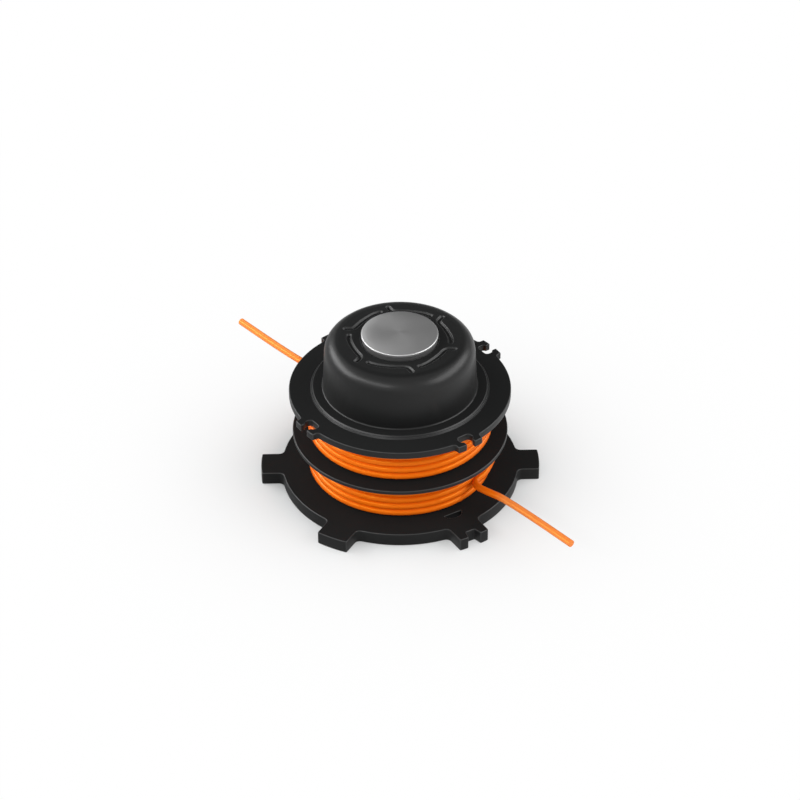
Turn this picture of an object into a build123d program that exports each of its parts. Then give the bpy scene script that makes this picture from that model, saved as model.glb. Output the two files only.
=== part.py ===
from build123d import *
import math
import os

# Spool of a garden trimmer's cutting head: one black moulding with two line chambers and a bump knob,
# a steel wear disc set into the knob, and two lengths of cutting line wound in the chambers.
# Millimetres. The axis is Z, the drive lugs stand on z = 0 and the knob points up.

# Cutting line
line_diameter = 2.4
line_layers = 2
turn_pitch = 2.55
turn_crest = 1.1
turn_valley = 0.9

# Hub and the hollow inside it
hub_radius = 25.7
hub_wall = 2.8
sleeve_wall = 2.9
sleeve_bottom = 8.0
spindle_bore_radius = 5.05

# Lower flange with its drive lugs
lower_flange_radius = 39.4
lower_flange_thickness = 4.5
lug_count = 6
lug_stand = 7.1
lug_width = 10.8
lug_root_fillet = 1.8
lug_notch_mouth = 4.6
lug_notch_floor = 3.4
lug_notch_depth = 2.9
lug_notch_fillet = 0.6
split_lug = 5
slot_inset = 6.4
slot_length = 6.6
slot_width = 2.35
slot_fillet = 0.5
rim_break = 0.3

# Weight-saving channel under the lower flange
channel_hub_rim = 2.9
channel_outer_rim = 2.6
channel_depth = 2.2
rib_width = 2.2

# Chambers and the two upper flanges
lower_chamber = 13.2
middle_flange_radius = 35.6
middle_flange_thickness = 1.45
upper_chamber = 13.75
top_flange_radius = 36.5
top_flange_thickness = 2.5

# Line notches in the top flange
notch_count = 4
notch_phase = -55.0
ear_stand = 2.1
ear_width = 9.5
ear_root_fillet = 1.0
ear_prong = 1.7
notch_neck = 3.2
pocket_width = 5.0
pocket_inset = 2.55
pocket_fillet = 1.1

# Bump knob
knob_base_radius = 25.3
step_ledge = 3.3
step_run = 0.9
step_height = 1.0
knob_top_radius = 24.5
knob_height = 19.1
knob_shoulder = 5.0
knob_base_fillet = 0.6
knob_wall = 2.6
knob_top_wall = 3.2
cavity_fillet = 3.0

# Curved grip grooves round the disc, their points given as across and out from the disc's edge
groove_count = 6
groove_phase = 42.0
groove_width = 1.8
groove_depth = 0.6
groove_bends = [8.0, 1.8]
groove_points = [(6.7, 2.6), (2.2, 3.6), (-6.6, 1.75), (-9.3, 4.0)]

# Steel wear disc
disc_radius = 12.8
disc_proud = 2.6
disc_recess = 1.0
disc_edge = 0.5
disc_dome = 0.45
stem_radius = 3.5
stem_length = 5.0
stem_floor = 2.5

# Free end of a line, in plan, from inside the winding to the cut tip
line_end_route = [(23.0, -17.2), (24.2, -22.2), (28.0, -25.5), (34.5, -30.2), (53.4, -53.2)]
line_end_drop = 0.45
bend_share = 0.45

# Levels up the axis
lower_flange_top = lower_flange_thickness
middle_flange_bottom = lower_flange_top + lower_chamber
middle_flange_top = middle_flange_bottom + middle_flange_thickness
top_flange_bottom = middle_flange_top + upper_chamber
top_flange_top = top_flange_bottom + top_flange_thickness
top_flange_middle = top_flange_bottom + top_flange_thickness / 2
step_top = top_flange_top + step_height
knob_top = top_flange_top + knob_height
cavity_top = knob_top - knob_top_wall
disc_seat = knob_top - disc_recess
stem_bottom = disc_seat - stem_length
bore_top = stem_bottom - stem_floor
lower_middle = lower_flange_top + lower_chamber / 2
upper_middle = middle_flange_top + upper_chamber / 2

# Radii that follow from those above
lug_reach = lower_flange_radius + lug_stand
slot_edge = lower_flange_radius - slot_inset
channel_inner_radius = hub_radius + channel_hub_rim
channel_outer_radius = lower_flange_radius - channel_outer_rim
ear_reach = top_flange_radius + ear_stand
pocket_floor = top_flange_radius - pocket_inset
pocket_depth = ear_reach - ear_prong - pocket_floor
line_radius = line_diameter / 2
outer_layer = hub_radius + line_diameter * (line_layers - 0.5)
cavity_radius = hub_radius - hub_wall
sleeve_radius = spindle_bore_radius + sleeve_wall
hub_core_radius = hub_radius - hub_wall / 2
cavity_top_radius = knob_top_radius - knob_wall
step_radius = knob_base_radius + step_ledge
step_root_radius = step_radius + step_run / step_height * (step_top - top_flange_middle)


def round_corner(section, r, z, radius):
    """Fillet the corner of a half section that lies at radius r and level z."""
    corner = section.vertices().sort_by_distance((r, z, 0))[0]
    return fillet(corner, radius)


def turned(section):
    """Solid of revolution about the axis from a half section drawn as radius and level."""
    return revolve(Plane.XZ * section, Axis.Z)


def core_section():
    """Half section of hub, middle flange, knob, spring space and spindle sleeve."""
    section = make_face(Polyline(
        (cavity_radius, 0),
        (hub_radius, 0),
        (hub_radius, middle_flange_bottom),
        (middle_flange_radius - rim_break, middle_flange_bottom),
        (middle_flange_radius, middle_flange_bottom + rim_break),
        (middle_flange_radius, middle_flange_top - rim_break),
        (middle_flange_radius - rim_break, middle_flange_top),
        (hub_radius, middle_flange_top),
        (hub_radius, top_flange_middle),
        (step_root_radius, top_flange_middle),
        (step_radius, step_top),
        (knob_base_radius, step_top),
        (knob_top_radius, knob_top),
        (disc_radius, knob_top),
        (disc_radius, disc_seat),
        (stem_radius, disc_seat),
        (stem_radius, stem_bottom),
        (0, stem_bottom),
        (0, bore_top),
        (spindle_bore_radius, bore_top),
        (spindle_bore_radius, sleeve_bottom),
        (sleeve_radius, sleeve_bottom),
        (sleeve_radius, cavity_top),
        (cavity_top_radius, cavity_top),
        close=True,
    ))
    section = round_corner(section, knob_top_radius, knob_top, knob_shoulder)
    section = round_corner(section, knob_base_radius, step_top, knob_base_fillet)
    return round_corner(section, cavity_top_radius, cavity_top, cavity_fillet)


def spread(sketch, count, phase):
    """Sketch repeated round the axis, its first copy turned by the phase in degrees."""
    return Sketch() + [Rot(0, 0, phase + 360 / count * k) * sketch for k in range(count)]


def tab(reach, width):
    """Radial tab along +X with parallel sides and an end concentric with the axis."""
    return Rectangle(reach, width, align=(Align.MIN, Align.CENTER)) & Circle(reach)


def fillet_roots(outline, radius, size):
    """Fillet the corners of an outline that lie on the circle of the given radius."""
    roots = [v for v in outline.vertices() if abs(math.hypot(v.X, v.Y) - radius) < line_radius]
    return fillet(roots, size)


def plate(outline, bottom, thickness):
    """Flange from its outline, with broken rims and an open middle that the hub's wall fills."""
    solid = extrude(Pos(0, 0, bottom) * outline, thickness)
    flats = solid.faces().sort_by(Axis.Z)
    rims = flats[0].outer_wire().edges() + flats[-1].outer_wire().edges()
    solid = chamfer(rims, rim_break)
    return solid - extrude(Pos(0, 0, bottom) * Circle(hub_core_radius), thickness)


def lug_notch():
    """Notch along +X in the split lug's end, narrower at its rounded floor than at its mouth."""
    floor = lug_reach - lug_notch_depth
    outside = lug_reach + lug_notch_depth
    notch = make_face(Polyline(
        (floor, -lug_notch_floor / 2),
        (lug_reach, -lug_notch_mouth / 2),
        (outside, -lug_notch_mouth / 2),
        (outside, lug_notch_mouth / 2),
        (lug_reach, lug_notch_mouth / 2),
        (floor, lug_notch_floor / 2),
        close=True,
    ))
    return fillet(notch.vertices().sort_by(Axis.X)[:2], lug_notch_fillet)


def line_slot():
    """D-shaped slot along +X, straight towards the hub and bowed towards the rim."""
    end = slot_length / 2
    straight = Line((slot_edge, -end), (slot_edge, end))
    bow = ThreePointArc((slot_edge, end), (slot_edge + slot_width, 0), (slot_edge, -end))
    slot = make_face(straight.edges() + bow.edges())
    return fillet(slot.vertices(), slot_fillet)


def lower_flange():
    """Lower flange with six drive lugs, one of them split, a slot and a ribbed channel below."""
    lugs = spread(tab(lug_reach, lug_width), lug_count, 0)
    outline = fillet_roots(Circle(lower_flange_radius) + lugs, lower_flange_radius, lug_root_fillet)
    split_lug_turn = Rot(0, 0, 360 / lug_count * split_lug)
    outline -= split_lug_turn * lug_notch()
    solid = plate(outline, 0, lower_flange_thickness)
    solid -= extrude(split_lug_turn * line_slot(), lower_flange_thickness)

    ring = Circle(channel_outer_radius) - Circle(channel_inner_radius)
    rib = Rectangle(lower_flange_radius, rib_width, align=(Align.MIN, Align.CENTER))
    ribs = spread(rib, lug_count, 180 / lug_count)
    return solid - extrude(ring - ribs, channel_depth)


def top_flange():
    """Top flange with four line notches, each a pocket behind a neck between a pair of ears."""
    ears = spread(tab(ear_reach, ear_width), notch_count, notch_phase)
    outline = fillet_roots(Circle(top_flange_radius) + ears, top_flange_radius, ear_root_fillet)
    neck = Rectangle(ear_reach, notch_neck, align=(Align.MIN, Align.CENTER))
    pocket = RectangleRounded(pocket_depth, pocket_width, pocket_fillet)
    notch = Pos(pocket_floor + pocket_depth / 2, 0) * (pocket + neck)
    outline -= spread(notch, notch_count, notch_phase)
    return plate(outline, top_flange_bottom, top_flange_thickness)


def grip_grooves():
    """Shallow S-shaped grooves in a ring on the knob's top."""
    points = [(across, disc_radius + out) for across, out in groove_points]
    path = FilletPolyline(*points, radius=groove_bends)
    groove = trace(path, line_width=groove_width)
    return extrude(Pos(0, 0, knob_top) * spread(groove, groove_count, groove_phase), -groove_depth)


def spool_body():
    """The whole moulding."""
    return turned(core_section()) + lower_flange() + top_flange() - grip_grooves()


def wear_disc():
    """Slightly domed steel disc with a rounded edge, standing proud of the knob, and its stem."""
    disc_top = knob_top + disc_proud
    disc_rim = disc_top - disc_dome
    sides = Polyline(
        (0, disc_top),
        (0, stem_bottom),
        (stem_radius, stem_bottom),
        (stem_radius, disc_seat),
        (disc_radius, disc_seat),
        (disc_radius, disc_rim),
    )
    dome = TangentArc((0, disc_top), (disc_radius, disc_rim), tangent=(1, 0))
    section = make_face(sides.edges() + dome.edges())
    return turned(round_corner(section, disc_radius, disc_rim, disc_edge))


def winding(middle, chamber):
    """Ring of wound line on the hub, ridged outside by the turns of its outer layer."""
    turns = int((chamber - line_diameter) / turn_pitch) + 1
    crest = outer_layer + line_radius
    valley = crest - turn_valley
    low = middle - turn_pitch * (turns - 1) / 2 - line_radius
    high = 2 * middle - low
    outline = [(hub_radius, high), (hub_radius, low), (valley, low)]
    for turn in range(turns):
        centre = low + line_radius + turn_pitch * turn
        outline.append((crest, centre - turn_crest / 2))
        outline.append((crest, centre + turn_crest / 2))
        outline.append((valley, min(centre + turn_pitch / 2, high)))
    return turned(make_face(Polyline(*outline, close=True)))


def bend_radii(points):
    """Largest bend radius at each inner point of a route that leaves straight between bends."""
    radii = []
    for before, corner, after in zip(points, points[1:], points[2:]):
        run_in = corner - before
        run_out = after - corner
        half_turn = math.radians(run_in.get_angle(run_out)) / 2
        radii.append(bend_share * min(run_in.length, run_out.length) / math.tan(half_turn))
    return radii


def line_end(middle, turn, wound):
    """Free end of a line, cut off where it leaves its winding."""
    level = middle - line_end_drop
    points = [Vector(x, y, level).rotate(Axis.Z, turn) for x, y in line_end_route]
    radii = bend_radii(points)
    path = FilletPolyline(*points, radius=radii)
    tube = sweep(Plane(origin=path @ 0, z_dir=path % 0) * Circle(line_radius), path=path)
    print("line end: length", round(path.length, 1), "bend radii", [round(r, 1) for r in radii],
          "volume over section times length", round(tube.volume / (math.pi * line_radius**2 * path.length), 4))
    return tube - wound


os.makedirs("parts", exist_ok=True)
lower_winding = winding(lower_middle, lower_chamber)
upper_winding = winding(upper_middle, upper_chamber)
nodes = {
    "spool_body": spool_body(),
    "wear_disc": wear_disc(),
    "lower_line_winding": lower_winding,
    "lower_line_end": line_end(lower_middle, 0, lower_winding),
    "upper_line_winding": upper_winding,
    "upper_line_end": line_end(upper_middle, 180, upper_winding),
}
for name, solid in nodes.items():
    export_step(solid, f"parts/{name}.step")
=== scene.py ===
import math

import bmesh
import bpy
import numpy as np
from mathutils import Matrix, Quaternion, Vector
from mathutils.geometry import delaunay_2d_cdt


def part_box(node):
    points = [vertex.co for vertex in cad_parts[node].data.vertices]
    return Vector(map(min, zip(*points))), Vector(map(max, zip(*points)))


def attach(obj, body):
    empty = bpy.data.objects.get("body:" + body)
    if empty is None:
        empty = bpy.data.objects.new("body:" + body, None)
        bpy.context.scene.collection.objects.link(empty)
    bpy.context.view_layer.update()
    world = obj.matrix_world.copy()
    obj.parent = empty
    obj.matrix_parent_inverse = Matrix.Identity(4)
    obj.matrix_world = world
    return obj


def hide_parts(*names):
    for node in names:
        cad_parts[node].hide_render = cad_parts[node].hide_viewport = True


bl_info = {
    "name": "Trimmer line spool",
    "version": (1, 0, 0),
    "blender": (4, 5, 0),
    "location": "3D View > Sidebar > Line spool",
    "description": "Dresses a trimmer line spool: black moulding, steel wear disc and wound cutting line",
    "category": "Add Mesh",
}

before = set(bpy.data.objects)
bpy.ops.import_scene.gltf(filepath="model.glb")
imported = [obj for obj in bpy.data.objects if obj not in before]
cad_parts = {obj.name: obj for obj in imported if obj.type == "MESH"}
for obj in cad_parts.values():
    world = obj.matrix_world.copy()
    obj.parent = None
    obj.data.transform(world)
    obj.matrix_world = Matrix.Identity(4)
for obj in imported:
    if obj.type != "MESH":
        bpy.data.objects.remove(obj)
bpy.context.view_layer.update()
BODY_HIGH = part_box("spool_body")[1]
DISC_LOW, DISC_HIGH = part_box("wear_disc")
WINDING_LEVELS = {name: sum(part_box(f"{name}_winding"), Vector()).z / 2
                  for name in ("lower_line", "upper_line")}
MM = 0.001


# Properties

def length(name, description, millimetres):
    """Length property, given in millimetres."""
    return bpy.props.FloatProperty(
        name=name, description=description, default=millimetres * MM, unit="LENGTH", precision=5)


def angle(name, description, degrees):
    """Angle property, given in degrees."""
    return bpy.props.FloatProperty(
        name=name, description=description, default=math.radians(degrees), subtype="ANGLE")


def colour(name, description, value):
    """Linear colour property."""
    return bpy.props.FloatVectorProperty(
        name=name, description=description, default=value, subtype="COLOR", size=3, min=0, max=1)


def share(name, description, value):
    """Number from 0 to 1."""
    return bpy.props.FloatProperty(
        name=name, description=description, default=value, subtype="FACTOR", min=0, max=1)


def count(name, description, value):
    """Whole number."""
    return bpy.props.IntProperty(name=name, description=description, default=value, min=1)


def nested(kind, name):
    """Group of settings inside others."""
    return bpy.props.PointerProperty(type=kind, name=name, description=kind.__doc__)


class HubSettings(bpy.types.PropertyGroup):
    """Hub, the hollow inside it and the flange between the two line chambers."""

    radius: length("Hub radius", "Radius that the line is wound on", 25.7)
    wall: length("Hub wall", "Thickness of the hub's wall", 2.8)
    sleeve_wall: length("Sleeve wall", "Wall of the sleeve round the spindle bore", 2.9)
    sleeve_bottom: length("Sleeve bottom", "Level of the sleeve's lower end", 8.0)
    bore_radius: length("Bore radius", "Radius of the spindle bore", 5.05)
    bore_top: length("Bore top", "Level at which the spindle bore ends", 46.0)
    middle_radius: length("Middle radius", "Radius of the flange between the chambers", 35.6)
    middle_bottom: length("Middle underside", "Level of the middle flange's underside", 17.7)
    middle_thickness: length("Middle thickness", "Thickness of the middle flange", 1.45)
    root: length("Root fillet", "Fillet where a flange meets the hub", 0.4)
    edge: length("Edge rounding", "Rounding of the moulding's outer edges", 0.3)


class LowerFlangeSettings(bpy.types.PropertyGroup):
    """Lower flange with its drive lugs, slot and channel."""

    radius: length("Radius", "Radius of the lower flange between its lugs", 39.4)
    thickness: length("Thickness", "Thickness of the lower flange", 4.5)
    lugs: count("Lugs", "Number of drive lugs", 6)
    lug_reach: length("Lug reach", "Distance of the lugs' ends from the axis", BODY_HIGH.x / MM)
    lug_width: length("Lug width", "Width of a lug", 10.8)
    lug_root: length("Lug root fillet", "Fillet at the root of a lug", 1.8)
    split_lug: count("Split lug", "Which lug, counted from +X, has the notch", 5)
    split_mouth: length("Split mouth", "Width of the split lug's notch at its mouth", 4.6)
    split_floor: length("Split floor", "Width of the split lug's notch at its floor", 3.4)
    split_depth: length("Split depth", "Depth of the notch in the split lug", 2.9)
    slot_edge: length("Slot edge", "Distance of the slot's straight edge from the axis", 33.0)
    slot_length: length("Slot length", "Length of the slot's straight edge", 6.6)
    slot_width: length("Slot width", "Width of the slot at its middle", 2.35)
    channel_inner: length("Channel inside", "Inner radius of the channel underneath", 28.6)
    channel_outer: length("Channel outside", "Outer radius of the channel underneath", 36.8)
    channel_depth: length("Channel depth", "Depth of the channel underneath", 2.2)
    rib_width: length("Rib width", "Width of the ribs across the channel", 2.2)


class TopFlangeSettings(bpy.types.PropertyGroup):
    """Top flange with its line notches, each between a pair of ears."""

    radius: length("Radius", "Radius of the top flange between its ears", 36.5)
    bottom: length("Underside", "Level of the top flange's underside", 32.9)
    thickness: length("Thickness", "Thickness of the top flange", 2.5)
    notches: count("Notches", "Number of line notches", 4)
    phase: angle("Phase", "Angle of the first notch from +X", -55)
    ear_reach: length("Ear reach", "Distance of the ears' ends from the axis", 38.6)
    ear_width: length("Ear width", "Width over a pair of ears", 9.5)
    ear_root: length("Ear root fillet", "Fillet at the root of the ears", 1.0)
    prong: length("Prong", "Thickness of the ears' prongs over a notch's pocket", 1.7)
    neck: length("Neck width", "Width of a notch's mouth", 3.2)
    pocket_width: length("Pocket width", "Width of a notch's pocket", 5.0)
    pocket_floor: length("Pocket floor", "Distance of a pocket's floor from the axis", 33.95)
    pocket_fillet: length("Pocket fillet", "Fillet in a pocket's corners", 1.1)


class KnobSettings(bpy.types.PropertyGroup):
    """Bump knob with its step and grip grooves."""

    base_radius: length("Base radius", "Radius of the knob at its foot", 25.3)
    top_radius: length("Top radius", "Radius of the knob's taper at its top", 24.5)
    top: length("Top", "Level of the knob's top", BODY_HIGH.z / MM)
    shoulder: length("Shoulder", "Rounding of the knob's shoulder", 5.0)
    foot: length("Foot fillet", "Fillet where the knob meets its step", 0.6)
    wall: length("Wall", "Thickness of the knob's side wall", 2.6)
    top_wall: length("Top wall", "Thickness of the knob's top", 3.2)
    hollow: length("Hollow fillet", "Fillet in the corner of the hollow inside", 3.0)
    step_radius: length("Step radius", "Radius of the step's upper edge", 28.6)
    step_run: length("Step run", "How far the step's slope runs outwards", 0.9)
    step_height: length("Step height", "Height of the step above the top flange", 1.0)
    step_slope: length("Step slope", "Run of each of the step's two slopes", 0.35)
    step_ledge: length("Step ledge", "Height of the ledge between the step's slopes", 0.55)
    recess: length("Recess", "Depth of the disc's seat", 1.0)
    grooves: count("Grooves", "Number of grip grooves", 6)
    groove_phase: angle("Groove phase", "Angle of the first groove", 42)
    groove_width: length("Groove width", "Width of a groove at its mouth", 1.9)
    groove_depth: length("Groove depth", "Depth of a groove", 0.6)


class DiscSettings(bpy.types.PropertyGroup):
    """Steel wear disc."""

    radius: length("Radius", "Radius of the disc", DISC_HIGH.x / MM)
    top: length("Top", "Level of the disc's top", DISC_HIGH.z / MM)
    bottom: length("Stem bottom", "Level of the stem's lower end", DISC_LOW.z / MM)
    edge: length("Edge", "Rounding of the disc's rim", 0.4)
    gap: length("Gap", "How far the disc's rim lies inside its radius", 0.2)
    band: length("Band", "Height of the disc's upright rim", 0.9)
    undercut: length("Undercut", "How far the disc's foot lies inside its rim", 0.3)
    dome: length("Dome", "Height of the disc's slight dome", 0.45)
    stem_radius: length("Stem radius", "Radius of the stem", 3.5)


class LineSettings(bpy.types.PropertyGroup):
    """Cutting line, wound in two layers in each chamber."""

    diameter: length("Diameter", "Diameter of the line", 2.4)
    pitch: length("Pitch", "Distance from turn to turn along the axis", 2.55)
    turns: count("Turns", "Turns in one layer", 5)
    points: count("Points per turn", "Control points in one turn", 20)
    crossover: angle("Crossover", "Angle in which the line passes to the next turn", 30)
    lift_start: angle("Lift start", "Angle before its end at which the line lifts", 105)
    lift_run: angle("Lift run", "Angle in which the line lifts", 45)
    drop_start: angle("Drop start", "Angle before its end at which the line drops", 55)
    drop_run: angle("Drop run", "Angle in which the line would drop", 70)
    drop: length("Drop", "How far below the winding's middle a free end lies", 0.45)


class FinishSettings(bpy.types.PropertyGroup):
    """Colours and finishes."""

    nylon: colour("Nylon", "Black nylon on the moulding's walls", (0.0055, 0.0057, 0.0057))
    nylon_pale: colour("Nylon, flats", "Nylon on its grained flats, a bit greyer", (0.008, 0.0083, 0.0083))
    # Paler colour along the edges: a painted highlight on the rounded edges.
    nylon_edge: colour("Nylon, edges", "Nylon along its edges, rubbed paler", (0.025, 0.0255, 0.0255))
    nylon_roughness: share("Nylon roughness", "Roughness of the moulding's walls", 0.33)
    steel: colour("Steel", "Satin steel of the disc", (0.6, 0.6, 0.6))
    steel_roughness: share("Steel roughness", "Mean roughness of the disc", 0.36)
    steel_side: share("Steel side", "How much rougher the disc's side is", 0.2)
    # The line's two colours are painted light and shade: paler on the free ends, as light passing through
    # them from the floor, and deeper in the winding, as shade between the turns.
    orange: colour("Line, free", "Orange line where light passes through", (0.98, 0.285, 0.062))
    orange_deep: colour("Line, wound", "Orange line where it is wound", (0.9, 0.145, 0.0))
    orange_roughness: share("Line roughness", "Roughness of the line", 0.1)
    free_start: length("Free start", "Distance from the axis at which the line pales", 41)
    free_stop: length("Free stop", "Distance from the axis at which the line is pale", 45)


class StageSettings(bpy.types.PropertyGroup):
    """Floor, light and camera."""

    floor: colour("Floor", "Colour of the floor", (0.72, 0.73, 0.73))
    # The pool is a painted shadow round the object, over the shadow that the lamps cast.
    pool_start: length("Pool start", "Distance at which the shadow starts to clear", 38.5)
    pool_fade: length("Pool fade", "Distance in which the shadow clears by two thirds", 20)
    pool_left: length("Pool left", "How far left of the axis the shadow's middle lies", 2.5)
    pool_back: length("Pool back", "How far behind the axis the shadow's middle lies", 5)
    # The floor's image in gloss is a painted reflection, dimmer at the left and in the painted shadow.
    image_left: share("Left floor", "Brightness of the floor's image in gloss, at the left", 0.46)
    image_right: share("Right floor", "Brightness of the floor's image in gloss, at the right", 0.78)
    image_reach: length("Floor reach", "How far left and right the floor's image changes", 80)
    image_shade: share("Shaded floor", "Share of the floor's image left in its shadow", 0.15)
    sky_front: share("Front sky", "Even light from the camera's side", 0.85)
    sky_back: share("Back sky", "Even light from behind the object", 0.125)
    azimuth: angle("Azimuth", "Camera's turn about the axis, from looking along +Y", -1.2)
    elevation: angle("Elevation", "Camera's height above the horizon", 36.076)
    roll: angle("Roll", "Camera's turn about its own line of sight", -0.25)
    distance: length("Distance", "Distance from the camera to its aim", 994.9)
    aim: length("Aim", "Level that the camera looks at", 29.8)
    lens: bpy.props.FloatProperty(
        name="Lens", description="Focal length on a 36 mm sensor", default=135.9, unit="CAMERA")


class SpoolSettings(bpy.types.PropertyGroup):
    """Everything about the spool that can be changed."""

    hub: nested(HubSettings, "Hub")
    lower: nested(LowerFlangeSettings, "Lower flange")
    upper: nested(TopFlangeSettings, "Top flange")
    knob: nested(KnobSettings, "Knob")
    disc: nested(DiscSettings, "Disc")
    line: nested(LineSettings, "Line")
    finish: nested(FinishSettings, "Finish")
    stage: nested(StageSettings, "Stage")


# Curves

def smooth_step(value):
    """0 below 0, 1 above 1 and 3 t^2 - 2 t^3 between."""
    t = np.clip(value, 0, 1)
    return t * t * (3 - 2 * t)


def spline_points(control, steps):
    """Points of the quadratic B-spline ((1 - t)^2 a + (1 + 2 t - 2 t^2) b + t^2 c) / 2 over each three
    neighbouring control points a, b and c, the first and the last one taken twice."""
    control = np.concatenate([control[:1], control, control[-1:]])
    t = np.linspace(0, 1, steps)[:, None]
    a, b, c = control[:-2, None], control[1:-1, None], control[2:, None]
    return (((1 - t) ** 2 * a + (1 + 2 * t - 2 * t * t) * b + t * t * c) / 2).reshape(-1, control.shape[1])


# Plan outlines, as complex numbers: real part along X, imaginary part along Y

HUB_COLUMNS = 216


def turn(angles):
    """Unit complex numbers at angles in radians."""
    return np.exp(1j * np.asarray(angles))


def arc(centre, radius, start, stop):
    """Points centre + radius (cos t, sin t), t from start to stop in even steps of at most 4 degrees."""
    steps = max(3, int(abs(stop - start) / math.radians(4)) + 2)
    return centre + radius * turn(np.linspace(start, stop, steps))


def tab_root(half_width, fillet, radius, half_sector):
    """Half outline of a tab along +X from its straight side to the middle between two tabs.

    The root fillet's centre lies half_width + fillet from the tab's middle line and radius + fillet from
    the axis, so its arc touches the side and the flange's circle, which runs on to half a sector."""
    off = half_width + fillet
    along = math.sqrt((radius + fillet) ** 2 - off ** 2)
    meet = math.atan2(off, along)
    return [arc(complex(along, off), fillet, -math.pi / 2, meet - math.pi),
            arc(0, radius, meet, half_sector)]


def tab_end(reach, from_width, to_width):
    """Arc about the axis at a tab's end, between two half widths off its middle line."""
    return arc(0, reach, math.asin(from_width / reach), math.asin(to_width / reach))


def both_halves(half):
    """Outline of a tab from its upper half and that half's mirror image in the tab's middle line."""
    upper = np.concatenate(half)
    return np.concatenate([upper[::-1].conj(), upper])


def softened(outline, rounding, chord=1.1 * MM, bend=0.22, fine_step=0.04 * MM):
    """Closed outline with rounded corners, thinned to the points that it needs.

    Points a fine step apart are blurred along the outline by a Gaussian, as a product with
    exp(-2 (pi rounding f)^2) of their Fourier transform. Those kept lie a chord apart where the outline
    is straight, and closer where it bends, so that each turns by about one given angle."""
    ring = np.append(outline, outline[0])
    run = np.append(0, np.cumsum(np.abs(np.diff(ring))))
    number = int(run[-1] / fine_step)
    even = np.linspace(0, run[-1], number, endpoint=False)
    fine = np.interp(even, run, ring.real) + 1j * np.interp(even, run, ring.imag)
    frequency = np.fft.fftfreq(number, run[-1] / number)
    smooth = np.fft.ifft(np.fft.fft(fine) * np.exp(-2 * (math.pi * rounding * frequency) ** 2))
    step = np.roll(smooth, -1) - smooth
    corner = np.abs(np.angle(np.roll(step, -1) / step))
    need = np.append(0, np.cumsum(np.abs(step) / chord + corner / bend))
    wanted = np.linspace(0, need[-1], int(need[-1]) + 1, endpoint=False)
    closed = np.append(smooth, smooth[0])
    return np.interp(wanted, need, closed.real) + 1j * np.interp(wanted, need, closed.imag)


def outward(outline):
    """Unit normals of an anticlockwise closed outline: central differences, turned by -90 degrees."""
    along = np.roll(outline, -1) - np.roll(outline, 1)
    return -1j * along / np.abs(along)


def circle(radius, columns=HUB_COLUMNS):
    """Closed ring of points about the axis."""
    return radius * turn(np.linspace(0, math.tau, columns, endpoint=False))


def inside(points, loop):
    """Whether each point lies in a closed loop: odd number of its edges crossed by a ray along +X."""
    start = loop[None, :]
    end = np.roll(loop, -1)[None, :]
    level = points.imag[:, None]
    spans = (start.imag > level) != (end.imag > level)
    rise = np.where(spans, end.imag - start.imag, 1)
    crossing = start.real + (level - start.imag) / rise * (end.real - start.real)
    return (spans & (points.real[:, None] < crossing)).sum(axis=1) % 2 == 1


# Half sections, as rows of radius and level

def rounded(corners, support=0.12 * MM):
    """Half section through corners given as radius, level and rounding.

    A corner becomes an arc that touches both its straight runs: with the runs' directions u and v and
    half the angle between them h, the arc's centre lies at corner + (u + v) / |u + v| rounding / sin h.
    One more point on each run, a short way outside the arc, keeps the flats flat in shading."""
    points = [complex(*corners[0][:2])]
    for before, corner, after in zip(corners, corners[1:], corners[2:]):
        here = complex(*corner[:2])
        radius = corner[2]
        if not radius:
            points.append(here)
            continue
        u = complex(*before[:2]) - here
        v = complex(*after[:2]) - here
        u /= abs(u)
        v /= abs(v)
        half = abs(np.angle(v / u)) / 2
        centre = here + (u + v) / abs(u + v) * radius / math.sin(half)
        cut = radius / math.tan(half)
        first = here + u * cut - centre
        sweep = np.angle((here + v * cut - centre) / first)
        steps = max(4, int(abs(sweep) / math.radians(14)) + 2)
        points.append(here + u * (cut + support))
        points.extend(centre + first * turn(np.linspace(0, sweep, steps)))
        points.append(here + v * (cut + support))
    points.append(complex(*corners[-1][:2]))
    return np.array(points)


def rim_section(bottom, top, low_edge, high_edge, support=0.12 * MM):
    """Rows of inset and level up a plate's rim, with quarter rounds of the given radii at its edges."""
    t = np.linspace(0, math.pi / 2, 5)
    rows = []
    for edge, level, way in ((low_edge, bottom, 1), (high_edge, top, -1)):
        inset = np.append(edge + support, edge * (1 - np.sin(t))) if edge else np.zeros(1)
        rise = np.append(0, edge * (1 - np.cos(t))) if edge else np.zeros(1)
        rows.append(np.stack([inset, level + way * rise], axis=1)[::way])
    return np.concatenate(rows)


# Meshes

SHARP_ANGLE = math.radians(38)


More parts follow.
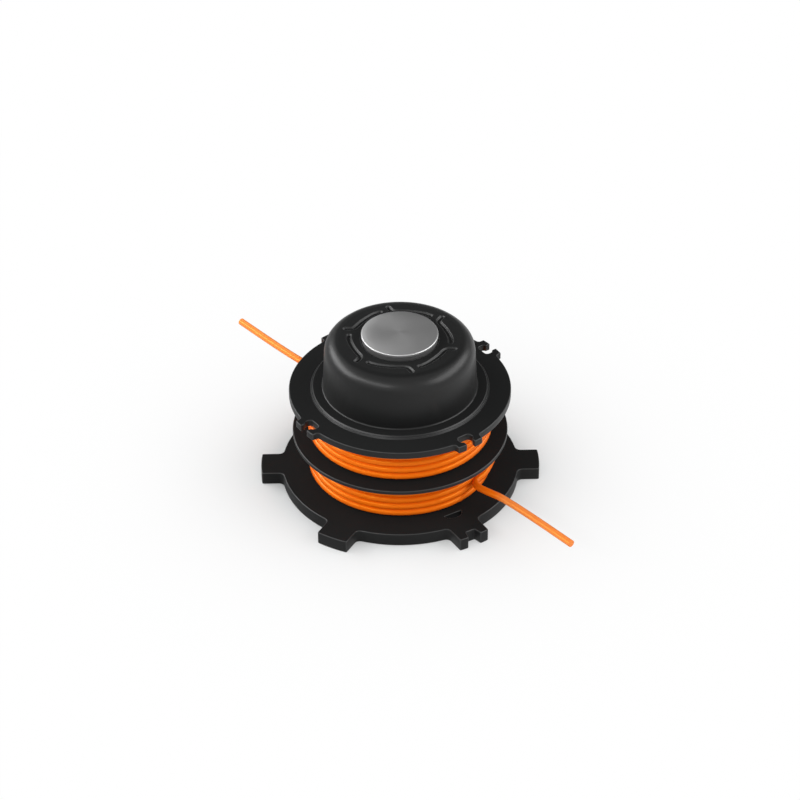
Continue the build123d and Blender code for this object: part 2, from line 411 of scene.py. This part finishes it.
class Shell:
    """Points and faces of a closed surface, gathered ring by ring."""

    def __init__(self):
        self.points = []
        self.faces = []
        self.total = 0

    def add(self, points, faces):
        """Add points and the faces between them."""
        self.points.append(points)
        self.faces.extend((faces + self.total).tolist())
        self.total += len(points)

    def grid(self, plan, level):
        """Add quads between rings of plan points at their levels: ring i, point j to ring i + 1, point
        j + 1, closed along j."""
        rows, columns = plan.shape
        index = np.arange(rows * columns).reshape(rows, columns)
        after = np.roll(index, -1, axis=1)
        quads = np.stack([index[:-1], after[:-1], after[1:], index[1:]], axis=-1)
        points = np.stack([plan.real, plan.imag, np.broadcast_to(level, plan.shape)], axis=-1)
        self.add(points.reshape(-1, 3), quads.reshape(-1, 4))

    def turned(self, section, columns=HUB_COLUMNS):
        """Add a surface of revolution: (r cos t, r sin t, z) for each r and z of the half section."""
        self.grid(section.real[:, None] * circle(1, columns)[None, :], section.imag[:, None])

    def rim(self, outline, section, hole=False):
        """Add a wall along an outline: each row is the outline moved into the material by its inset."""
        into = outward(outline) if hole else -outward(outline)
        ring = outline[None, :] + section[:, :1] * into[None, :]
        self.grid(ring, section[:, 1:])
        return ring[0], ring[-1]

    def cap(self, level, *loops):
        """Add a flat face between loops: Delaunay triangles that keep the loops' edges, where an odd
        number of loops lies round the triangle's middle."""
        plan = np.concatenate(loops) / MM
        ends = np.cumsum([len(loop) for loop in loops])
        rings = [np.arange(end - len(loop), end) for loop, end in zip(loops, ends)]
        edges = [np.stack([ring, np.roll(ring, -1)], axis=1) for ring in rings]
        flat = [Vector((p.real, p.imag)) for p in plan]
        found = delaunay_2d_cdt(flat, np.concatenate(edges).tolist(), [], 0, 1e-6)
        places = np.array([tuple(p) for p in found[0]]) * MM
        triangles = np.array(found[2])
        middles = places[triangles].mean(axis=1) @ np.array([1, 1j])
        parity = sum(inside(middles, loop).astype(int) for loop in loops) % 2
        self.add(np.column_stack([places, np.full(len(places), level)]), triangles[parity == 1])

    def finish(self, name):
        """Object of the whole shell: doubles merged, faces turned outwards, smooth but for sharp edges."""
        mesh = bpy.data.meshes.new(name)
        mesh.from_pydata(np.concatenate(self.points).tolist(), [], self.faces)
        work = bmesh.new()
        work.from_mesh(mesh)
        bmesh.ops.remove_doubles(work, verts=work.verts, dist=1e-6)
        bmesh.ops.dissolve_degenerate(work, edges=work.edges, dist=1e-8)
        bmesh.ops.recalc_face_normals(work, faces=work.faces)
        work.to_mesh(mesh)
        work.free()
        mesh.shade_smooth()
        mesh.set_sharp_from_angle(angle=SHARP_ANGLE)
        return link(name, mesh)


def read(rows, name, columns, kind=float):
    """One property of all points or edges of a mesh, as rows of numbers."""
    values = np.empty(len(rows) * columns, dtype=kind)
    rows.foreach_get(name, values)
    return values.reshape(-1, columns)


def mark_edges(mesh, rounding):
    """Store on each point how sharp an edge it sits on, as "edge", and how level its face is, as "flat".

    With n a point's normal and d the way to a neighbour, -2 n.d / d.d is the curvature towards it. Their
    mean is about 1 / (2 r) within a rounding of radius r and half of that where it meets a flat face, so
    4 r times the mean, less 1, runs from 0 to 1 across the rounding. A face counts as level where the
    upright part of its normal passes from 0.9 to 0.99."""
    points = read(mesh.vertices, "co", 3)
    normals = read(mesh.vertices, "normal", 3)
    pairs = read(mesh.edges, "vertices", 2, np.int32)
    pairs = np.concatenate([pairs, pairs[:, ::-1]])
    way = points[pairs[:, 1]] - points[pairs[:, 0]]
    bend = -2 * (normals[pairs[:, 0]] * way).sum(axis=1) / (way * way).sum(axis=1)
    mean = np.bincount(pairs[:, 0], bend, len(points)) / np.bincount(pairs[:, 0], minlength=len(points))
    edge = np.clip(4 * rounding * mean - 1, 0, 1)
    flat = smooth_step((np.abs(normals[:, 2]) - 0.9) / 0.09)
    for name, values in (("edge", edge), ("flat", flat)):
        mesh.attributes.new(name, "FLOAT", "POINT").data.foreach_set("value", values.astype(np.float32))


def link(name, data):
    """Object for a mesh, curve, light or camera, in the scene."""
    made = bpy.data.objects.new(name, data)
    bpy.context.scene.collection.objects.link(made)
    return made


# Shader nodes

class Value:
    """Output of a shader node. Sums, differences and products of values add Math nodes."""

    def __init__(self, finish, socket):
        self.finish = finish
        self.socket = socket

    def math(self, operation, *others, turned=False):
        """Result of a Math node on this value and others, which come first where turned."""
        values = (*others, self) if turned else (self, *others)
        return self.finish.node("ShaderNodeMath", dict(enumerate(values)), operation=operation)

    def __add__(self, other):
        return self.math("ADD", other)

    def __sub__(self, other):
        return self.math("SUBTRACT", other)

    def __rsub__(self, other):
        return self.math("SUBTRACT", other, turned=True)

    def __mul__(self, other):
        return self.math("MULTIPLY", other)


class Finish:
    """Material or world under construction."""

    def __init__(self, owner):
        self.owner = owner
        owner.use_nodes = True
        self.nodes = owner.node_tree.nodes
        self.links = owner.node_tree.links
        self.nodes.clear()

    def node(self, kind, sockets=None, output=0, **settings):
        """Node of a kind, with its settings made first and then its sockets' values or links."""
        made = self.nodes.new(kind)
        for name, setting in settings.items():
            setattr(made, name, setting)
        for name, value in (sockets or {}).items():
            if isinstance(value, Value):
                self.links.new(value.socket, made.inputs[name])
            else:
                made.inputs[name].default_value = value
        return Value(self, made.outputs[output])

    def place(self):
        """Object coordinates."""
        return self.node("ShaderNodeTexCoord", output="Object")

    def from_axis(self, place):
        """Distance of a place from the axis."""
        flat = self.node("ShaderNodeVectorMath", {0: place, 1: (1, 1, 0)}, operation="MULTIPLY")
        return self.node("ShaderNodeVectorMath", {0: flat}, output="Value", operation="LENGTH")

    def mark(self, name):
        """Value that the mesh keeps under a name."""
        return self.node("ShaderNodeAttribute", output="Fac", attribute_name=name)

    def noise(self, vector, scale, detail=2.0, roughness=0.5):
        """Noise from 0 to 1, with features of about one over the scale in metres."""
        sockets = {"Vector": vector, "Scale": scale, "Detail": detail, "Roughness": roughness}
        return self.node("ShaderNodeTexNoise", sockets, noise_dimensions="3D")

    def spread(self, value, low, high, start=0, stop=1):
        """Value from start to stop mapped to a range from low to high, held at its ends."""
        sockets = {"Value": value, "From Min": start, "From Max": stop, "To Min": low, "To Max": high}
        return self.node("ShaderNodeMapRange", sockets, clamp=True)

    def vary(self, value, mean, change):
        """Value from 0 to 1 mapped to a mean less and plus a change."""
        return self.spread(value, mean - change, mean + change)

    def blend(self, factor, first, second):
        """Mix of two colours."""
        first, second = (c if isinstance(c, Value) else (*c, 1) for c in (first, second))
        sockets = {0: factor, 6: first, 7: second}
        return self.node("ShaderNodeMix", sockets, output=2, data_type="RGBA")

    def bump(self, height, distance, strength):
        """Normal from a height."""
        return self.node("ShaderNodeBump", {
            "Height": height, "Distance": distance, "Strength": strength})

    def surface(self, shader, output="ShaderNodeOutputMaterial"):
        """Use a shader as the surface that the owner shows."""
        self.links.new(shader.socket, self.nodes.new(output).inputs["Surface"])
        return self.owner


def black_nylon(look):
    """Black nylon: dull on its grained flats, satin on its walls, and paler along its edges as a painted
    highlight.
    """
    finish = Finish(bpy.data.materials.new("black_nylon"))
    place = finish.place()
    cloud = finish.noise(place, scale=70, detail=3)
    grain = finish.noise(place, scale=3600, roughness=0.6)
    flat = finish.mark("flat")
    edge = finish.mark("edge")
    skin = finish.blend(flat * (cloud * 0.6 + 0.6), look.nylon, look.nylon_pale)
    shader = finish.node("ShaderNodeBsdfPrincipled", {
        # Painted highlight: the paler colour on the edges' roundings.
        "Base Color": finish.blend(edge, skin, look.nylon_edge),
        "Roughness": finish.spread(grain, low=0.5, high=0.6),
        "Normal": finish.bump(grain, distance=0.012 * MM, strength=0.6),
        "Specular IOR Level": 0.02,
        "Coat Weight": edge * 0.2 + 0.8 - flat * 0.8,
        "Coat Roughness": look.nylon_roughness,
        "Sheen Weight": 0.06,
        "Sheen Roughness": 0.5,
    })
    return finish.surface(shader)


def disc_steel(look):
    """Satin steel, faced on a lathe: fine irregular rings about the axis over a soft sheen."""
    finish = Finish(bpy.data.materials.new("disc_steel"))
    place = finish.place()
    lathe = {"W": finish.from_axis(place), "Scale": 5200, "Detail": 3.0, "Roughness": 0.65}
    rings = finish.node("ShaderNodeTexNoise", lathe, noise_dimensions="1D")
    cloud = finish.noise(place, scale=240, detail=3)
    side = (1 - finish.mark("flat") - finish.mark("edge")).math("MAXIMUM", 0)
    grade = finish.vary((cloud + rings) * 0.5, look.steel_roughness, change=0.06)
    shader = finish.node("ShaderNodeBsdfPrincipled", {
        "Base Color": (*look.steel, 1),
        "Metallic": 1.0,
        "Roughness": grade + side * look.steel_side,
        "Normal": finish.bump(rings, distance=0.004 * MM, strength=0.5),
        "Anisotropic": 0.35,
    })
    return finish.surface(shader)


def orange_line(look):
    """Drawn nylon line: glossy and a little translucent, with faint changes of density. Its colour pales
    away from the axis: painted light through the free ends over painted shade in the winding.
    """
    finish = Finish(bpy.data.materials.new("orange_line"))
    place = finish.place()
    fine = finish.noise(place, scale=1500)
    free = finish.spread(finish.from_axis(place), 0, 1, look.free_start, look.free_stop)
    cloud = finish.noise(place, scale=130) * 0.16
    shader = finish.node("ShaderNodeBsdfPrincipled", {
        # Paler away from the axis: painted light through the free ends over painted shade in the winding.
        "Base Color": finish.blend(free * 0.77 + cloud, look.orange_deep, look.orange),
        "Roughness": finish.vary(fine, look.orange_roughness, change=0.04),
        "Normal": finish.bump(fine, distance=0.01 * MM, strength=0.3),
        "Transmission Weight": 0.04,
        "IOR": 1.53,
        "Specular IOR Level": 0.8,
        "Specular Tint": (1, 0.5, 0.05, 1),
    })
    return finish.surface(shader)


def white_floor(stage):
    """Pale floor that keeps the object's shadow and clears to plain white outside it, for what the camera
    sees straight or through the line. Near a middle set beside the axis the white glow fades to the grey
    floor: a painted shadow pool over the shadow that the lamps cast. Its image in gloss is a painted
    reflection, dimmer left of the object than right of it, and in the shadow."""
    finish = Finish(bpy.data.materials.new("floor"))
    place = finish.place()
    middle = (stage.pool_left, -stage.pool_back, 0)
    away = finish.from_axis(finish.node("ShaderNodeVectorMath", {0: place, 1: middle}, operation="ADD"))
    # Painted shadow: the white glow fades towards a middle beside the axis, showing the grey plain floor.
    clear = (1 - ((stage.pool_start - away) * (1 / stage.pool_fade)).math("EXPONENT")).math("MAXIMUM", 0)
    camera, through, gloss = (finish.node("ShaderNodeLightPath", output=name)
                              for name in ("Is Camera Ray", "Is Transmission Ray", "Is Glossy Ray"))
    # Painted reflection: the floor's image in gloss, dimmer at the left and in the shadow.
    across = finish.node("ShaderNodeSeparateXYZ", {"Vector": place}, output="X")
    image = finish.spread(across, stage.image_left, stage.image_right, -stage.image_reach, stage.image_reach)
    image = image * (clear * (1 - stage.image_shade) + stage.image_shade)
    plain = finish.node("ShaderNodeBsdfDiffuse", {"Color": (*stage.floor, 1)})
    glow = finish.node("ShaderNodeEmission", {"Color": 1 - gloss * (1 - image), "Strength": 1.0})
    seen = (camera + through) * clear + gloss
    return finish.surface(finish.node("ShaderNodeMixShader", {0: seen, 1: plain, 2: glow}))


# Black moulding

GROOVE_ROUTE = np.array([(5.8, 2.8), (4.0, 3.35), (0.6, 3.3), (-3.2, 2.75), (-6.7, 1.65), (-8.2, 2.75),
                         (-8.9, 3.6)]) * MM
KNOB_COLUMNS = 648
GROOVE_ROW = 0.14 * MM


def groove_cut(knob, disc, rings):
    """Depth of the grip grooves at points of the knob's top, for one groove's share of the circle.

    A groove runs along an S-shaped quadratic B-spline. With d the distance to the nearest groove's line,
    the depth falls from full to none in a smooth step as d goes from two fifths of half the groove's
    width to the whole of it."""
    corners = GROOVE_ROUTE + np.array([0, disc.radius])
    route = spline_points(corners, steps=33) @ np.array([1, 1j])
    sector = math.tau / knob.grooves
    routes = np.concatenate([route * turn(knob.groove_phase + sector * k) for k in range(knob.grooves)])
    distance = np.abs(rings[:, :, None] - routes[None, None, :]).min(axis=2)
    half = knob.groove_width / 2
    return knob.groove_depth * smooth_step((half - distance) / (half * 0.6))


def add_knob(shell, settings):
    """Knob from the disc's seat out over its grooved top, shoulder and side to the step's ledge."""
    knob, disc, upper = settings.knob, settings.disc, settings.upper
    ledge = upper.bottom + upper.thickness + knob.step_height
    seat = knob.top - knob.recess
    lip = 0.15 * MM
    flat_start = disc.radius + 0.45 * MM
    flat_stop = knob.top_radius - knob.shoulder + 0.5 * MM
    seat_wall = rounded([(disc.radius, seat), (disc.radius, knob.top, lip), (flat_start, knob.top)])
    side = rounded([
        (flat_start, knob.top), (knob.top_radius, knob.top, knob.shoulder),
        (knob.base_radius, ledge, knob.foot), (knob.step_radius - 0.6 * MM, ledge)])
    reach = flat_start + GROOVE_ROW * np.arange(1, int((flat_stop - flat_start) / GROOVE_ROW))
    top = np.interp(reach, side.real[1:], side.imag[1:])
    section = np.concatenate([seat_wall[:-1], reach + 1j * top, side[side.real > reach[-1] + 0.05 * MM]])
    ring = section.real[:, None] * circle(1, KNOB_COLUMNS)[None, :]
    level = np.repeat(section.imag[:, None], KNOB_COLUMNS, axis=1)
    first = len(seat_wall) - 1
    last = first + len(reach)
    share_of_ring = ring[first:last, :KNOB_COLUMNS // knob.grooves]
    level[first:last] -= np.tile(groove_cut(knob, disc, share_of_ring), (1, knob.grooves))
    shell.grid(ring, level)
    shell.turned(rounded([(0, disc.bottom), (disc.stem_radius, disc.bottom, 0), (disc.stem_radius, seat)]))
    shell.cap(seat, circle(disc.radius, KNOB_COLUMNS), circle(disc.stem_radius))
    return ring[-1]


def notch_outline(upper):
    """Outline of the top flange: ears in pairs, their prongs round the neck of a filleted pocket."""
    fillet = upper.pocket_fillet
    off = upper.pocket_width / 2 - fillet
    top = upper.ear_reach - upper.prong
    mouth = math.asin(max(upper.neck / 2 - off, 0) / fillet)
    half = [arc(complex(upper.pocket_floor + fillet, off), fillet, math.pi, math.pi / 2),
            arc(complex(top - fillet, off), fillet, math.pi / 2, mouth),
            tab_end(upper.ear_reach, upper.neck / 2, upper.ear_width / 2),
            *tab_root(upper.ear_width / 2, upper.ear_root, upper.radius, math.pi / upper.notches)]
    pair = both_halves(half)
    turns = upper.phase + math.tau / upper.notches * np.arange(upper.notches)
    return np.concatenate([pair * turn(t) for t in turns])


def lug_outline(lower):
    """Outline of the lower flange: plain lugs and the split one."""
    root = tab_root(lower.lug_width / 2, lower.lug_root, lower.radius, math.pi / lower.lugs)
    plain = both_halves([tab_end(lower.lug_reach, 0, lower.lug_width / 2), *root])
    floor = np.array([complex(lower.lug_reach - lower.split_depth, lower.split_floor / 2)])
    split = both_halves([floor, tab_end(lower.lug_reach, lower.split_mouth / 2, lower.lug_width / 2), *root])
    sector = math.tau / lower.lugs
    lugs = [split if k == lower.split_lug else plain for k in range(lower.lugs)]
    return np.concatenate([lug * turn(sector * k) for k, lug in enumerate(lugs)])


def slot_outline(lower):
    """Outline of the slot inside the split lug: an arc towards the rim, closed by its chord.

    An arc as wide as w at the middle of a chord of half length h has the radius (h^2 + w^2) / (2 w)."""
    end = lower.slot_length / 2
    radius = (end ** 2 + lower.slot_width ** 2) / (2 * lower.slot_width)
    span = math.asin(end / radius)
    bow = arc(lower.slot_edge + lower.slot_width - radius, radius, -span, span)
    return bow * turn(math.tau / lower.lugs * lower.split_lug)


def pocket_outline(lower, middle):
    """Outline of one pocket of the channel, between two ribs."""
    half_rib = lower.rib_width / 2
    half_sector = math.pi / lower.lugs
    inner = half_sector - math.asin(half_rib / lower.channel_inner)
    outer = half_sector - math.asin(half_rib / lower.channel_outer)
    ring = [arc(0, lower.channel_outer, -outer, outer), arc(0, lower.channel_inner, inner, -inner)]
    return np.concatenate(ring) * turn(middle)


def root_radius(hub):
    """Radius at which a flange's flat face meets the fillet at the hub."""
    return hub.radius + 2 * hub.root


def mouth_radius(hub):
    """Radius at which the underside meets the rounded mouth of the hollow."""
    return hub.radius - hub.wall + 0.5 * MM


def add_top_flange(shell, settings, knob_ring):
    """Top flange with its notches, and the step under the knob: two slopes with a narrow ledge between."""
    hub, knob, upper = settings.hub, settings.knob, settings.upper
    top = upper.bottom + upper.thickness
    ledge = top + knob.step_height
    foot = knob.step_radius + knob.step_run
    narrow = top + knob.step_ledge
    fall = 0.02 * MM
    crest = 0.14 * MM
    crease = 0.03 * MM
    step = rounded([
        (knob.step_radius - 0.5 * MM, ledge), (knob.step_radius, ledge, crest),
        (knob.step_radius + knob.step_slope, narrow + fall, crease), (foot - knob.step_slope, narrow, crest),
        (foot, top, 0.04 * MM), (foot + 0.3 * MM, top)], crease)
    shell.turned(step)
    shell.cap(ledge, knob_ring, circle(step[0].real))
    outline = softened(notch_outline(upper), rounding=0.2 * MM)
    low, high = shell.rim(outline, rim_section(upper.bottom, top, hub.edge, hub.edge))
    shell.cap(top, high, circle(step[-1].real))
    shell.cap(upper.bottom, low, circle(root_radius(hub)))


def add_hub(shell, settings):
    """Hub walls of both chambers with the middle flange between them."""
    hub, lower, upper = settings.hub, settings.lower, settings.upper
    out = root_radius(hub)
    middle_top = hub.middle_bottom + hub.middle_thickness
    shell.turned(rounded([
        (out, upper.bottom), (hub.radius, upper.bottom, hub.root),
        (hub.radius, middle_top, hub.root), (hub.middle_radius, middle_top, hub.edge),
        (hub.middle_radius, hub.middle_bottom, hub.edge), (hub.radius, hub.middle_bottom, hub.root),
        (hub.radius, lower.thickness, hub.root), (out, lower.thickness)]))


def add_lower_flange(shell, settings):
    """Lower flange with its lugs, slot and the ribbed channel underneath."""
    hub, lower = settings.hub, settings.lower
    lip = 0.2 * MM
    outline = softened(lug_outline(lower), rounding=0.3 * MM)
    low, high = shell.rim(outline, rim_section(0, lower.thickness, hub.edge, hub.edge))
    slot = softened(slot_outline(lower), rounding=0.15 * MM, chord=0.5 * MM)
    slot_rim = rim_section(lower.channel_depth, lower.thickness, 0, lip)
    slot_low, slot_high = shell.rim(slot, slot_rim, hole=True)
    shell.cap(lower.thickness, high, slot_high, circle(root_radius(hub)))
    mouths = []
    for k in range(lower.lugs):
        pocket = softened(pocket_outline(lower, math.tau / lower.lugs * k), rounding=0.3 * MM)
        mouth, floor = shell.rim(pocket, rim_section(0, lower.channel_depth, lip, 0), hole=True)
        mouths.append(mouth)
        shell.cap(lower.channel_depth, *([floor, slot_low] if k == lower.split_lug else [floor]))
    shell.cap(0, low, circle(mouth_radius(hub)), *mouths)


def add_hollow(shell, settings):
    """Hollow under the knob: spring space, sleeve and spindle bore."""
    hub, knob = settings.hub, settings.knob
    ceiling = knob.top - knob.top_wall
    sleeve = hub.bore_radius + hub.sleeve_wall
    sleeve_root = 0.8 * MM
    sleeve_edge = 0.4 * MM
    shell.turned(rounded([
        (mouth_radius(hub), 0), (hub.radius - hub.wall, 0, hub.edge),
        (knob.top_radius - knob.wall, ceiling, knob.hollow), (sleeve, ceiling, sleeve_root),
        (sleeve, hub.sleeve_bottom, sleeve_edge), (hub.bore_radius, hub.sleeve_bottom, sleeve_edge),
        (hub.bore_radius, hub.bore_top, 0), (0, hub.bore_top)]))


class SPOOL_OT_moulding(bpy.types.Operator):
    """Build the black moulding: hub, three flanges and bump knob"""

    bl_idname = "spool.moulding"
    bl_label = "Moulding"

    def execute(self, context):
        settings = context.scene.spool
        shell = Shell()
        knob_ring = add_knob(shell, settings)
        add_top_flange(shell, settings, knob_ring)
        add_hub(shell, settings)
        add_lower_flange(shell, settings)
        add_hollow(shell, settings)
        moulding = shell.finish("moulding")
        mark_edges(moulding.data, settings.hub.edge)
        moulding.data.materials.append(black_nylon(settings.finish))
        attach(moulding, "root")
        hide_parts("spool_body")
        return {"FINISHED"}


# Wear disc

DISC_COLUMNS = 256
DISC_RINGS = 25
RIM_RINGS = 3


class SPOOL_OT_wear_disc(bpy.types.Operator):
    """Build the steel wear disc with its stem"""

    bl_idname = "spool.wear_disc"
    bl_label = "Wear disc"

    def execute(self, context):
        settings = context.scene.spool
        disc, knob = settings.disc, settings.knob
        seat = knob.top - knob.recess
        shell = Shell()
        out = np.linspace(1, 0, DISC_RINGS)[RIM_RINGS:]
        face = out * disc.radius + 1j * (disc.top - disc.dome * out ** 4)
        rim = disc.radius - disc.gap
        rim_top = disc.top - disc.dome
        foot = rim - disc.undercut
        edge = rounded([
            (0, disc.bottom), (disc.stem_radius, disc.bottom, 0.3 * MM), (disc.stem_radius, seat, 0),
            (foot, seat, 0), (foot, knob.top, 0), (rim, rim_top - disc.band, 0.6 * MM),
            (rim, rim_top, disc.edge), (face[0].real, face[0].imag)])
        shell.turned(np.concatenate([edge, face[1:]]), DISC_COLUMNS)
        turned = shell.finish("wear_disc_steel")
        mark_edges(turned.data, disc.edge)
        turned.data.materials.append(disc_steel(settings.finish))
        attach(turned, "root")
        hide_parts("wear_disc")
        return {"FINISHED"}


# Cutting line

# Plan of the lower line's free end, and for the upper line half a turn round from it
LINE_END_ROUTE = np.array([24.2 - 19.0j, 24.2 - 22.2j, 28.0 - 25.5j, 34.5 - 30.2j, 53.4 - 53.2j]) * MM

# Where each line starts, how far it is wound past whole turns and how its free end is turned, in degrees
WINDS = {"lower_line": (45, 75, 0), "upper_line": (90, -60, 180)}


def wound_route(line, hub, middle, start, swept):
    """Control points of a wound line, from its inner end on the hub to where it lifts off the winding.

    Clockwise from the start angle, the turns lie flat and each passes to the next in one short crossover:
    down the chamber in the layer on the hub, out by a diameter, and up again in the layer outside. In
    its last stretch the line lifts by one more diameter and comes down to the free end's level. A ring
    of control points stands off by one over the cosine of half its step, so that the curve keeps the
    radius."""
    step = math.tau / line.points
    s = np.linspace(0, swept, int(swept / step) + 1)
    full = math.tau * np.arange(1, line.turns)
    change = math.tau * line.turns
    down = smooth_step((s[:, None] - full) / line.crossover).sum(axis=1)
    up = smooth_step((s[:, None] - change - full) / line.crossover).sum(axis=1)
    lift = smooth_step((s - swept + line.lift_start) / line.lift_run)
    drop = smooth_step((s - swept + line.drop_start) / line.drop_run)
    top = middle + line.pitch * (line.turns - 1) / 2
    layer = smooth_step((s - change) / line.crossover) + lift
    radius = hub.radius + line.diameter / 2 + line.diameter * layer
    level = top + line.pitch * (up - down) + (middle - line.drop - top) * drop
    plan = radius / math.cos(step / 2) * turn(start - s)
    return np.column_stack([plan.real, plan.imag, level])


def line_curve(name, points, diameter):
    """Round line along a smooth NURBS curve with the given control points."""
    data = bpy.data.curves.new(name, "CURVE")
    data.dimensions = "3D"
    data.bevel_depth = diameter / 2
    data.bevel_resolution = 6
    data.resolution_u = 5
    data.use_fill_caps = True
    spline = data.splines.new("NURBS")
    spline.points.add(len(points) - 1)
    spline.points.foreach_set("co", np.column_stack([points, np.ones(len(points))]).ravel())
    spline.order_u = 3
    spline.use_endpoint_u = True
    return link(name, data)


class SPOOL_OT_cutting_line(bpy.types.Operator):
    """Wind the two cutting lines into their chambers, each with a free end"""

    bl_idname = "spool.cutting_line"
    bl_label = "Cutting line"

    def execute(self, context):
        settings = context.scene.spool
        line, hub = settings.line, settings.hub
        finish = orange_line(settings.finish)
        wound = 2 * math.tau * line.turns
        for name, angles in WINDS.items():
            start, past, turned = (math.radians(a) for a in angles)
            middle = WINDING_LEVELS[name]
            coil = wound_route(line, hub, middle, start, wound + past)
            plan = LINE_END_ROUTE * turn(turned)
            free = np.column_stack([plan.real, plan.imag, np.full(len(plan), middle - line.drop)])
            points = np.concatenate([coil, free])
            made = line_curve(name, points, line.diameter)
            made.data.materials.append(finish)
            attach(made, "root")
            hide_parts(f"{name}_winding", f"{name}_end")
            track = spline_points(points, steps=9)
        return {"FINISHED"}


# Stage

# Azimuth from +X and elevation of each soft lamp in degrees, its width and height in metres and its watts
LAMPS = {
    "left_softbox": (163, 27, 0.72, 0.22, 2.75),
    "front_left_softbox": (-135, 35, 0.6, 0.12, 1.0),
    "right_softbox": (-2, 32, 0.84, 0.3, 2.5),
    "back_left_softbox": (112, 36, 0.2, 0.2, 0.17),
}
LAMP_DISTANCE = 0.6
FLOOR_HALF = 3.0
FLOOR_LEVEL = -0.1 * MM
FLOOR_CORNERS = ((-1, -1), (1, -1), (1, 1), (-1, 1))


def direction(azimuth, elevation):
    """Unit vector at an azimuth about +Z, from +X, and an elevation."""
    flat = math.cos(elevation)
    return Vector((math.cos(azimuth) * flat, math.sin(azimuth) * flat, math.sin(elevation)))


def softbox(name, aim, azimuth, elevation, width, height, power):
    """Rectangular lamp that looks at the aim."""
    data = bpy.data.lights.new(name, "AREA")
    data.shape = "RECTANGLE"
    data.size = width
    data.size_y = height
    data.energy = power
    lamp = link(name, data)
    away = direction(math.radians(azimuth), math.radians(elevation))
    lamp.location = aim + away * LAMP_DISTANCE
    lamp.rotation_euler = away.to_track_quat("Z", "Y").to_euler()


def studio(stage):
    """White world that lights the object brightly from the camera's side and dimly from behind."""
    sky = Finish(bpy.data.worlds.new("studio"))
    way = sky.node("ShaderNodeTexCoord", output="Generated")
    depth = sky.node("ShaderNodeSeparateXYZ", {"Vector": way}, output="Y")
    level = sky.spread(depth, stage.sky_front, stage.sky_back, -1, 1)
    camera = sky.node("ShaderNodeLightPath", output="Is Camera Ray")
    light = sky.node("ShaderNodeBackground", {
        "Color": (1, 1, 1, 1), "Strength": level.math("MAXIMUM", camera)})
    return sky.surface(light, "ShaderNodeOutputWorld")


class SPOOL_OT_stage(bpy.types.Operator):
    """Set up the floor, the soft lights and the camera"""

    bl_idname = "spool.stage"
    bl_label = "Stage"

    def execute(self, context):
        scene = context.scene
        stage = scene.spool.stage
        aim = Vector((0, 0, stage.aim))

        mesh = bpy.data.meshes.new("floor")
        corners = [(x * FLOOR_HALF, y * FLOOR_HALF, FLOOR_LEVEL) for x, y in FLOOR_CORNERS]
        mesh.from_pydata(corners, [], [(0, 1, 2, 3)])
        floor = link("floor", mesh)
        mesh.materials.append(white_floor(stage))

        for name, lamp in LAMPS.items():
            softbox(name, aim, *lamp)
        scene.world = studio(stage)
        scene.view_settings.view_transform = "Standard"

        data = bpy.data.cameras.new("camera")
        data.lens = stage.lens
        data.sensor_width = 36
        data.clip_start = 0.05
        data.clip_end = 20
        camera = link("camera", data)
        away = direction(stage.azimuth - math.pi / 2, stage.elevation)
        camera.location = aim + away * stage.distance
        camera.rotation_mode = "QUATERNION"
        camera.rotation_quaternion = away.to_track_quat("Z", "Y") @ Quaternion((0, 0, 1), stage.roll)
        scene.camera = camera
        return {"FINISHED"}


class SPOOL_PT_panel(bpy.types.Panel):
    """Sizes, colours and building steps of the spool"""

    bl_idname = "SPOOL_PT_panel"
    bl_label = "Line spool"
    bl_space_type = "VIEW_3D"
    bl_region_type = "UI"
    bl_category = "Line spool"

    def draw(self, context):
        for operator in OPERATORS:
            self.layout.operator(operator.bl_idname)
        settings = context.scene.spool
        for group in settings.__annotations__:
            box = self.layout.box()
            box.label(text=settings.bl_rna.properties[group].name)
            part = getattr(settings, group)
            for name in part.__annotations__:
                box.prop(part, name)


OPERATORS = (SPOOL_OT_moulding, SPOOL_OT_wear_disc, SPOOL_OT_cutting_line, SPOOL_OT_stage)
CLASSES = (HubSettings, LowerFlangeSettings, TopFlangeSettings, KnobSettings, DiscSettings, LineSettings,
           FinishSettings, StageSettings, SpoolSettings, *OPERATORS, SPOOL_PT_panel)


def register():
    """Register the classes and hang the settings on the scene."""
    for cls in CLASSES:
        bpy.utils.register_class(cls)
    bpy.types.Scene.spool = nested(SpoolSettings, "Line spool")


def unregister():
    """Take the settings and classes away again."""
    del bpy.types.Scene.spool
    for cls in reversed(CLASSES):
        bpy.utils.unregister_class(cls)


def main():
    """Build the spool and its stage."""
    register()
    bpy.ops.spool.moulding()
    bpy.ops.spool.wear_disc()
    bpy.ops.spool.cutting_line()
    bpy.ops.spool.stage()


if __name__ == "__main__":
    main()
